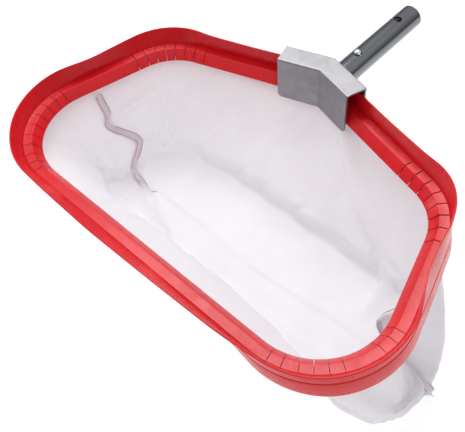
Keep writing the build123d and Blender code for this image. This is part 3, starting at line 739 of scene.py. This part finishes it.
class Nodes:
    """A short way to write shader nodes."""

    def __init__(self, name):
        self.mat = bpy.data.materials.new(name)
        self.mat.use_nodes = True
        self.tree = self.mat.node_tree
        self.tree.nodes.clear()
        self.out = self.new("ShaderNodeOutputMaterial")

    def new(self, kind, **values):
        """A node with its properties set."""
        node = self.tree.nodes.new(kind)
        for key, value in values.items():
            setattr(node, key, value)
        return node

    def link(self, a, b):
        self.tree.links.new(a, b)

    def shader(self, **values):
        """The Principled shader with constants on its own sockets."""
        node = self.new("ShaderNodeBsdfPrincipled")
        for key, value in values.items():
            node.inputs[key].default_value = value
        return node

    def noise(self, scale, detail, rough, vector, distortion=0.0):
        """A noise texture's value."""
        node = self.new("ShaderNodeTexNoise")
        node.inputs["Scale"].default_value = scale
        node.inputs["Detail"].default_value = detail
        node.inputs["Roughness"].default_value = rough
        node.inputs["Distortion"].default_value = distortion
        self.link(vector, node.inputs["Vector"])
        return node.outputs["Fac"]

    def ramp(self, fac, *stops):
        """A colour ramp through (place, colour) stops."""
        node = self.new("ShaderNodeValToRGB")
        while len(node.color_ramp.elements) < len(stops):
            node.color_ramp.elements.new(0.5)
        for element, (place, colour) in zip(node.color_ramp.elements, stops):
            element.position = place
            element.color = (*colour, 1)
        self.link(fac, node.inputs["Fac"])
        return node.outputs["Color"]

    def remap(self, value, a, b, c, d):
        """A value carried from the range a to b into the range c to d."""
        node = self.new("ShaderNodeMapRange")
        for key, number in zip(("From Min", "From Max", "To Min", "To Max"), (a, b, c, d)):
            node.inputs[key].default_value = number
        self.link(value, node.inputs["Value"])
        return node.outputs["Result"]

    def math(self, operation, a, b=None):
        node = self.new("ShaderNodeMath", operation=operation)
        for socket, value in zip(node.inputs, (a, b)):
            if value is None:
                continue
            if isinstance(value, (int, float)):
                socket.default_value = value
            else:
                self.link(value, socket)
        return node.outputs[0]

    def mix(self, fac, a, colour):
        """A linked colour mixed towards a constant one."""
        node = self.new("ShaderNodeMix", data_type="RGBA")
        self.link(fac, node.inputs["Factor"])
        self.link(a, node.inputs[6])
        node.inputs[7].default_value = (*colour, 1)
        return node.outputs[2]

    def coords(self, scale=(1, 1, 1)):
        """The object's own coordinates in metres, scaled along each axis."""
        place = self.new("ShaderNodeTexCoord").outputs["Object"]
        mapping = self.new("ShaderNodeMapping")
        mapping.inputs["Scale"].default_value = scale
        self.link(place, mapping.inputs["Vector"])
        return mapping.outputs["Vector"]

    def bump(self, height, strength, distance, normal=None):
        node = self.new("ShaderNodeBump")
        node.inputs["Strength"].default_value = strength
        node.inputs["Distance"].default_value = distance
        self.link(height, node.inputs["Height"])
        if normal is not None:
            self.link(normal, node.inputs["Normal"])
        return node.outputs["Normal"]

    def finish(self, shader):
        self.link(shader.outputs[0], self.out.inputs["Surface"])
        return self.mat


def red_plastic():
    """Glossy red polypropylene: faint flow marks, fine scuffs and a painted highlight on the sharp
    edges.
    """
    m = Nodes("red_plastic")
    place = m.coords()
    flow = m.noise(9.0, 3.0, 0.5, place)
    fine = m.noise(420.0, 2.0, 0.6, place)
    scuff = m.noise(60.0, 6.0, 0.7, place, 0.6)
    base = m.ramp(flow, (0.3, (0.60, 0.004, 0.010)), (0.7, (0.72, 0.007, 0.014)))
    # Convex edges are mixed towards a brighter red, a painted highlight along the sharp edges
    bevel = m.new("ShaderNodeNewGeometry").outputs["Pointiness"]
    edge = m.remap(bevel, 0.505, 0.56, 0.0, 0.35)
    colour = m.mix(edge, base, (0.85, 0.06, 0.06))
    s = m.shader(**{"Specular IOR Level": 0.32, "Coat Weight": 0.04, "Coat Roughness": 0.18})
    m.link(colour, s.inputs["Base Color"])
    m.link(m.remap(scuff, 0.35, 0.75, 0.24, 0.42), s.inputs["Roughness"])
    wave = m.bump(flow, 0.12, 0.0008)
    m.link(m.bump(fine, 0.06, 0.0002, wave), s.inputs["Normal"])
    return m.finish(s)


def yoke_metal():
    """Tumbled aluminium sheet: mottled grain, dull smears and small dings."""
    m = Nodes("yoke_aluminium")
    place = m.coords()
    blotch = m.noise(55.0, 5.0, 0.6, place, 0.4)
    grain = m.noise(900.0, 3.0, 0.7, place)
    dings = m.new("ShaderNodeTexVoronoi")
    dings.inputs["Scale"].default_value = 140.0
    m.link(place, dings.inputs["Vector"])
    spots = m.remap(dings.outputs["Distance"], 0.0, 0.16, 0.0, 1.0)
    base = m.ramp(blotch, (0.3, (0.23, 0.225, 0.24)), (0.55, (0.30, 0.295, 0.31)),
                  (0.75, (0.37, 0.365, 0.38)))
    s = m.shader(Metallic=0.92)
    m.link(base, s.inputs["Base Color"])
    m.link(m.remap(blotch, 0.3, 0.7, 0.36, 0.52), s.inputs["Roughness"])
    rough = m.bump(grain, 0.25, 0.0002)
    m.link(m.bump(spots, 0.15, 0.0002, rough), s.inputs["Normal"])
    return m.finish(s)


def tube_metal():
    """Drawn aluminium tube: fine lines along its length, scuffs from the pole, painted shade inside
    the bore.
    """
    m = Nodes("tube_aluminium")
    lines = m.noise(700.0, 2.0, 0.5, m.coords(scale=(1.0, 0.012, 1.0)))
    scuff = m.noise(40.0, 6.0, 0.7, m.coords(scale=(1.0, 0.35, 1.0)), 0.8)
    base = m.ramp(lines, (0.3, (0.14, 0.145, 0.165)), (0.7, (0.22, 0.23, 0.25)))
    s = m.shader(Metallic=1.0)
    # Inside the bore the colour goes near black, painted shade in the tube's hollow
    split = m.new("ShaderNodeSeparateXYZ")
    m.link(m.coords(), split.inputs["Vector"])
    squares = [m.math("POWER", m.math("ABSOLUTE", split.outputs[axis]), 2.0) for axis in "XZ"]
    across = m.math("SQRT", m.math("ADD", *squares))
    inside = m.remap(across, 0.0126, 0.0132, 1.0, 0.0)
    m.link(m.mix(inside, base, (0.02, 0.02, 0.022)), s.inputs["Base Color"])
    m.link(m.remap(scuff, 0.4, 0.75, 0.14, 0.30), s.inputs["Roughness"])
    m.link(m.bump(lines, 0.12, 0.0002), s.inputs["Normal"])
    return m.finish(s)


def steel(name, colour, low, high, scale):
    """Small steel pieces: brushed or polished with slight variation."""
    m = Nodes(name)
    marks = m.noise(scale, 4.0, 0.6, m.coords(scale=(1.0, 0.15, 1.0)))
    s = m.shader(Metallic=1.0)
    base = m.ramp(marks, (0.3, tuple(c * 0.82 for c in colour)), (0.7, colour))
    m.link(base, s.inputs["Base Color"])
    m.link(m.remap(marks, 0.3, 0.7, low, high), s.inputs["Roughness"])
    m.link(m.bump(marks, 0.08, 0.0001), s.inputs["Normal"])
    return m.finish(s)


def weld_metal():
    """Weld bead: rippled, slightly sooty aluminium."""
    m = Nodes("weld_aluminium")
    place = m.coords()
    soot = m.noise(120.0, 5.0, 0.6, place)
    s = m.shader(Metallic=0.9)
    base = m.ramp(soot, (0.3, (0.22, 0.22, 0.23)), (0.7, (0.50, 0.50, 0.51)))
    m.link(base, s.inputs["Base Color"])
    m.link(m.remap(soot, 0.3, 0.7, 0.35, 0.6), s.inputs["Roughness"])
    m.link(m.bump(m.noise(600.0, 3.0, 0.6, place), 0.3, 0.0003), s.inputs["Normal"])
    return m.finish(s)


def cloth(name, colour, pitch, solid, through):
    """Woven net: threads both ways from the panel's own measure, letting some light through.

    The pitch is in metres. Below a solid of 1.3 the cover thins between the threads.
    """
    m = Nodes(name)
    uv = m.new("ShaderNodeTexCoord").outputs["UV"]
    split = m.new("ShaderNodeSeparateXYZ")
    m.link(uv, split.inputs["Vector"])
    threads = []
    for axis in ("X", "Y"):
        turns = m.math("MULTIPLY", split.outputs[axis], 2 * math.pi / pitch)
        threads.append(m.math("COSINE", turns))
    height = m.math("MAXIMUM", threads[0], threads[1])
    mottle = m.noise(14.0, 4.0, 0.6, m.coords())
    dark = tuple(c * 0.93 for c in colour)
    base = m.ramp(mottle, (0.3, dark), (0.7, colour))
    s = m.shader(Roughness=0.62, **{"Specular IOR Level": 0.3, "Sheen Weight": 0.25,
                                    "Sheen Roughness": 0.4})
    m.link(base, s.inputs["Base Color"])
    normal = m.bump(height, 0.25, pitch * 0.25)
    m.link(normal, s.inputs["Normal"])
    glow = m.new("ShaderNodeBsdfTranslucent")
    m.link(base, glow.inputs["Color"])
    blend = m.new("ShaderNodeMixShader")
    blend.inputs[0].default_value = through
    m.link(s.outputs[0], blend.inputs[1])
    m.link(glow.outputs[0], blend.inputs[2])
    holes = m.new("ShaderNodeBsdfTransparent")
    cover = m.new("ShaderNodeMixShader")
    m.link(m.remap(height, 0.15, 0.45, solid - 0.30, 1.0), cover.inputs[0])
    m.link(holes.outputs[0], cover.inputs[1])
    m.link(blend.outputs[0], cover.inputs[2])
    m.link(cover.outputs[0], m.out.inputs["Surface"])
    return m.mat


def thread_material(name, colour):
    """Sewing thread: twisted ply with a little colour change."""
    m = Nodes(name)
    twist = m.noise(900.0, 2.0, 0.5, m.coords())
    s = m.shader(Roughness=0.7, **{"Sheen Weight": 0.3})
    base = m.ramp(twist, (0.3, tuple(c * 0.75 for c in colour)), (0.7, colour))
    m.link(base, s.inputs["Base Color"])
    m.link(m.bump(twist, 0.4, 0.0002), s.inputs["Normal"])
    return m.finish(s)


def dress(obj, material):
    """Give an object its one material."""
    obj.data.materials.clear()
    obj.data.materials.append(material)
    return obj


RED = red_plastic()
YOKE = yoke_metal()
TUBE = tube_metal()
WELD = weld_metal()
SPRING = steel("spring_steel", (0.50, 0.50, 0.52), 0.22, 0.36, 500.0)
SCREW = steel("screw_steel", (0.58, 0.58, 0.60), 0.25, 0.4, 300.0)
BUTTON = steel("button_steel", (0.90, 0.90, 0.92), 0.2, 0.3, 200.0)
NET = cloth("net_mesh", (0.90, 0.888, 0.922), 0.0009, 1.10, 0.20)
TAPE = cloth("seam_tape", (0.94, 0.87, 0.91), 0.0012, 1.4, 0.25)
HEM = cloth("hem_band", (0.88, 0.87, 0.90), 0.0009, 1.25, 0.3)
THREAD = thread_material("seam_thread", (0.55, 0.20, 0.24))
PALE_THREAD = thread_material("bottom_thread", (0.88, 0.87, 0.90))
CORD = thread_material("hem_cord", (0.80, 0.80, 0.80))


# ---------------------------------------------------------------- camera, light and floor

def make_camera():
    """The camera solved from the photograph's outlines."""
    data = bpy.data.cameras.new("camera")
    data.sensor_fit = "HORIZONTAL"
    data.sensor_width = 36.0
    data.lens = 49.36
    data.clip_start, data.clip_end = 0.01, 50.0
    cam = bpy.data.objects.new("camera", data)
    bpy.context.scene.collection.objects.link(cam)
    right = Vector((0.7267, 0.6829, -0.0743)).normalized()
    back = Vector((0.4473, -0.3885, 0.8056)).normalized()
    up = back.cross(right).normalized()
    right = up.cross(back)
    spot = Vector((313.76, -154.09 + FRONT_Y, 488.31 + LEDGE_Z)) * MM
    turn = Matrix((right, up, back)).transposed().to_4x4()
    cam.matrix_world = Matrix.Translation(spot) @ turn
    bpy.context.scene.camera = cam


def area_light(name, place, target, size, power):
    """A white rectangular lamp aimed at a point, all in metres and watts."""
    data = bpy.data.lights.new(name, "AREA")
    data.shape = "RECTANGLE"
    data.size, data.size_y = size
    data.energy = power
    lamp = bpy.data.objects.new(name, data)
    bpy.context.scene.collection.objects.link(lamp)
    aim = Vector(target) - Vector(place)
    lamp.location = place
    lamp.rotation_mode = "QUATERNION"
    lamp.rotation_quaternion = aim.to_track_quat("-Z", "Y")


def make_world():
    """A studio dome: white overhead, falling to grey round the horizon."""
    world = bpy.data.worlds.new("studio")
    bpy.context.scene.world = world
    world.use_nodes = True
    tree = world.node_tree
    place = tree.nodes.new("ShaderNodeTexCoord")
    split = tree.nodes.new("ShaderNodeSeparateXYZ")
    ramp = tree.nodes.new("ShaderNodeValToRGB")
    ramp.color_ramp.elements[0].position = 0.05
    ramp.color_ramp.elements[0].color = (0.18, 0.18, 0.19, 1)
    ramp.color_ramp.elements[1].position = 0.62
    ramp.color_ramp.elements[1].color = (1.0, 1.0, 1.0, 1)
    tree.links.new(place.outputs["Generated"], split.inputs["Vector"])
    tree.links.new(split.outputs["Z"], ramp.inputs["Fac"])
    tree.links.new(ramp.outputs["Color"], tree.nodes["Background"].inputs["Color"])
    tree.nodes["Background"].inputs["Strength"].default_value = 0.80


def make_floor():
    """White paper just under the bag, with a faint glow of its own."""
    size = 6.0
    z = TABLE_Z * MM - 0.0012
    corners = [(-size, -size, z), (size, -size, z), (size, size, z), (-size, size, z)]
    floor = add_mesh("floor", corners, [(0, 1, 2, 3)])
    m = Nodes("floor_paper")
    speck = m.noise(30.0, 3.0, 0.5, m.coords())
    s = m.shader(Roughness=0.9, **{"Specular IOR Level": 0.1, "Emission Color": (1, 1, 1, 1),
                                   "Emission Strength": 0.34})
    base = m.ramp(speck, (0.3, (0.93, 0.93, 0.935)), (0.7, (0.95, 0.95, 0.955)))
    m.link(base, s.inputs["Base Color"])
    dress(floor, m.finish(s))


def make_stage():
    """The floor, the dome and the two lamps."""
    make_floor()
    make_world()
    area_light("key", (-0.55, 0.35, 1.25), (0, -0.25, 0), (0.7, 0.7), 12.0)
    area_light("rake", (-1.0, -0.5, 0.25), (0, -0.15, 0), (0.25, 0.5), 1.6)
    bpy.context.scene.view_settings.view_transform = "Standard"


def refine_edges(obj, width, steps):
    """Round a machined or folded piece's edges."""
    flat = obj.modifiers.new("flat", "DECIMATE")
    flat.decimate_type = "DISSOLVE"
    flat.angle_limit = math.radians(0.6)
    bevel = obj.modifiers.new("edges", "BEVEL")
    bevel.width = width * MM
    bevel.segments = steps
    bevel.limit_method = "ANGLE"
    bevel.angle_limit = math.radians(28)
    bevel.use_clamp_overlap = True
    bevel.harden_normals = False


make_camera()
make_stage()
rim = dress(make_rim(), RED)
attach(rim, "skimmer")
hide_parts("rim")
(net_front, net_rear), cut, tapes, side_stitches, bottom_stitches = bag_pieces()
hem = sweep_rim("hem", hem_section, 3.0)
bead = sweep_rim("hem_bead", cord_section, 3.0)
for piece, material, slot, node in (
        (net_front, NET, "net_mesh", "net_front_panel"),
        (net_rear, NET, "net_mesh", "net_rear_panel"),
        (tapes[0], TAPE, "seam_tape", "seam_tape"),
        (tapes[1], TAPE, "seam_tape", None),
        (side_stitches, THREAD, "seam_thread", "seam_thread"),
        (bottom_stitches, PALE_THREAD, "net_mesh", None),
        (hem, HEM, "hem_band", "hem_band"),
        (bead, CORD, "hem_cord", "hem_cord")):
    dress(piece, material)
    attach(piece, "skimmer")
    if node:
        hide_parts(node)
# Flat sizes are the panels' chosen envelopes. The areas are those of the mesh before it relaxes.
for node, material, angle in (
        ("yoke", YOKE, 30), ("yoke_screws", SCREW, 30), ("handle_tube", TUBE, 30),
        ("tube_weld", WELD, 50), ("clip_fold", SPRING, 30), ("clip_leg_upper", SPRING, 30),
        ("clip_leg_lower", SPRING, 30), ("button_upper", BUTTON, 50),
        ("button_lower", BUTTON, 50)):
    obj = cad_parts[node]
    dress(obj, material)
    shade(obj, angle)
refine_edges(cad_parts["yoke"], 1.4, 4)
